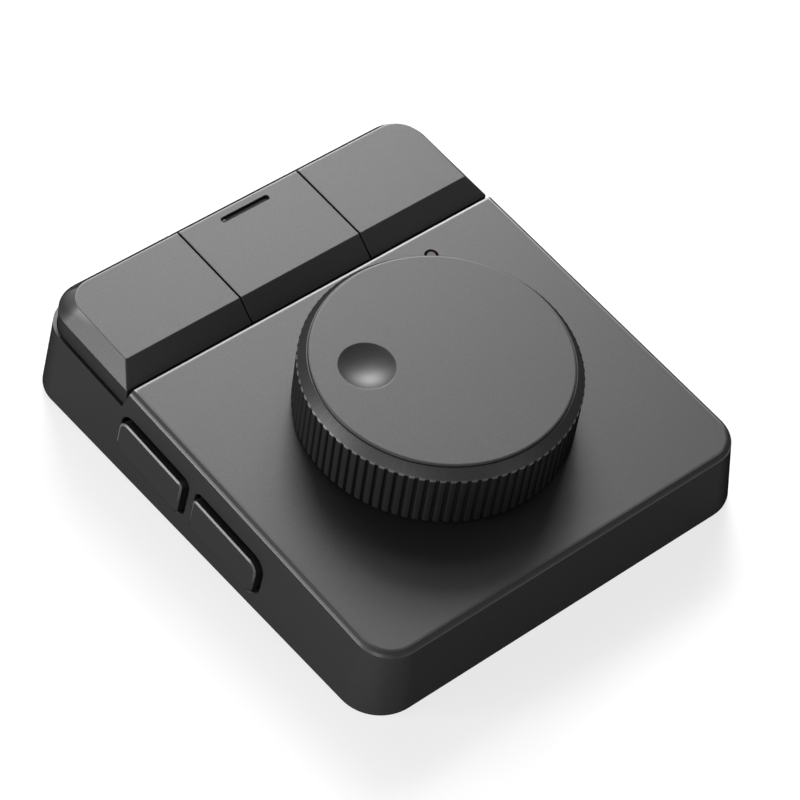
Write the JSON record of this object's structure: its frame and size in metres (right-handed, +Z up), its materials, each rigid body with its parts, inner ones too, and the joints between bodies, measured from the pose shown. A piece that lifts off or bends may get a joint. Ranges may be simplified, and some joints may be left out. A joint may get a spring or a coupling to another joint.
{
  "type": "macro keypad with knob",
  "caption": "Wedge-shaped desk keypad: keys across the back, a large ribbed press-and-turn knob with a finger dimple, and push buttons in the left side.",
  "frame": {"origin": "centre of the base's outline, on the surface that the feet rest on", "axes": "+Z up, +X to the user's right, +Y away from the user, from the knob towards the keys; the deck slopes up along +Y by 4 degrees"},
  "size_m": [0.0805, 0.0924, 0.0319],
  "materials": {
    "housing_plastic": "fine spark-eroded texture, charcoal black",
    "deck_plastic": "fine matt texture, charcoal",
    "cover_plastic": "plain matt black moulding",
    "key_plastic": "fine matt texture with satin bevels",
    "grip_plastic": "satin black, ribbed",
    "knob_face_plastic": "fine matt texture",
    "button_plastic": "fine matt texture",
    "foot_rubber": "soft matt black",
    "screw_steel": "zinc-plated",
    "neck_brass": "turned and threaded",
    "board_laminate": "solder-masked glass-fibre laminate",
    "chip_plastic": "moulded black package",
    "switch_plastic": "moulded black",
    "stem_plastic": "moulded, self-lubricating",
    "light_plastic": "clear moulded light guide",
    "window_plastic": "smoked light window",
    "cell_wrap": "foil pouch",
    "foam": "adhesive foam",
    "lead_insulation": "wire insulation"
  },
  "bodies": {
    "case": {"housing": "housing_plastic", "bottom_cover": "cover_plastic", "rubber_feet": "foot_rubber", "case_screws": "screw_steel", "main_board": "board_laminate", "board_screws": "screw_steel", "board_lights": "light_plastic", "controller_chip": "chip_plastic", "radio_module": "screw_steel", "key_plate": "screw_steel", "key_plate_screws": "screw_steel", "key_switch_left": "switch_plastic", "key_switch_middle": "switch_plastic", "key_switch_right": "switch_plastic", "key_spring_left": "screw_steel", "key_spring_middle": "screw_steel", "key_spring_right": "screw_steel", "status_light_guide": "light_plastic", "encoder_body": "screw_steel", "encoder_neck": "neck_brass", "encoder_washer": "screw_steel", "encoder_nut": "screw_steel", "side_board": "board_laminate", "side_board_screws": "screw_steel", "side_header": "chip_plastic", "side_switch_front": "switch_plastic", "side_switch_rear": "switch_plastic", "usb_shell": "screw_steel", "usb_tongue": "chip_plastic", "power_switch": "screw_steel", "battery": "cell_wrap", "battery_pad": "foam", "battery_socket": "stem_plastic", "battery_leads": "lead_insulation"},
    "key_left": {"keycap_left": "key_plastic", "key_stem_left": "stem_plastic"},
    "key_middle": {"keycap_middle": "key_plastic", "key_stem_middle": "stem_plastic", "key_window": "window_plastic"},
    "key_right": {"keycap_right": "key_plastic", "key_stem_right": "stem_plastic"},
    "knob_press": {"encoder_plunger": "switch_plastic"},
    "knob": {"encoder_shaft": "screw_steel", "knob_hub": "grip_plastic", "knob_ring": "grip_plastic", "knob_face": "knob_face_plastic"},
    "side_front": {"side_button_front": "button_plastic", "side_plunger_front": "stem_plastic"},
    "side_rear": {"side_button_rear": "button_plastic", "side_plunger_rear": "stem_plastic"},
    "power_slide": {"power_slider": "switch_plastic"}
  },
  "joints": [
    {"name": "key_left_press", "type": "slide", "parent": "case", "child": "key_left", "axis": [0, 0.0698, -0.9976], "range_m": [0, 0.0015], "stiffness_N_per_m": 400, "springref_m": -0.0005, "deforming": ["key_spring_left"]},
    {"name": "key_middle_press", "type": "slide", "parent": "case", "child": "key_middle", "axis": [0, 0.0698, -0.9976], "range_m": [0, 0.0015], "stiffness_N_per_m": 400, "springref_m": -0.0005, "deforming": ["key_spring_middle"]},
    {"name": "key_right_press", "type": "slide", "parent": "case", "child": "key_right", "axis": [0, 0.0698, -0.9976], "range_m": [0, 0.0015], "stiffness_N_per_m": 400, "springref_m": -0.0005, "deforming": ["key_spring_right"]},
    {"name": "knob_push", "type": "slide", "parent": "case", "child": "knob_press", "axis": [0, 0.0698, -0.9976], "range_m": [0, 0.0005], "stiffness_N_per_m": 3000, "springref_m": -0.0004},
    {"name": "knob_turn", "type": "hinge", "parent": "knob_press", "child": "knob", "pos_m": [0, -0.01136, 0.01722], "axis": [0, -0.0698, 0.9976], "continuous": true},
    {"name": "side_front_press", "type": "slide", "parent": "case", "child": "side_front", "axis": [0.9937, 0.0078, -0.1116], "range_m": [0, 0.0006], "stiffness_N_per_m": 2000, "springref_m": -0.0002},
    {"name": "side_rear_press", "type": "slide", "parent": "case", "child": "side_rear", "axis": [0.9937, 0.0078, -0.1116], "range_m": [0, 0.0006], "stiffness_N_per_m": 2000, "springref_m": -0.0002},
    {"name": "power_slide", "type": "slide", "parent": "case", "child": "power_slide", "axis": [1, 0, 0], "range_m": [0, 0.002]}
  ]
}
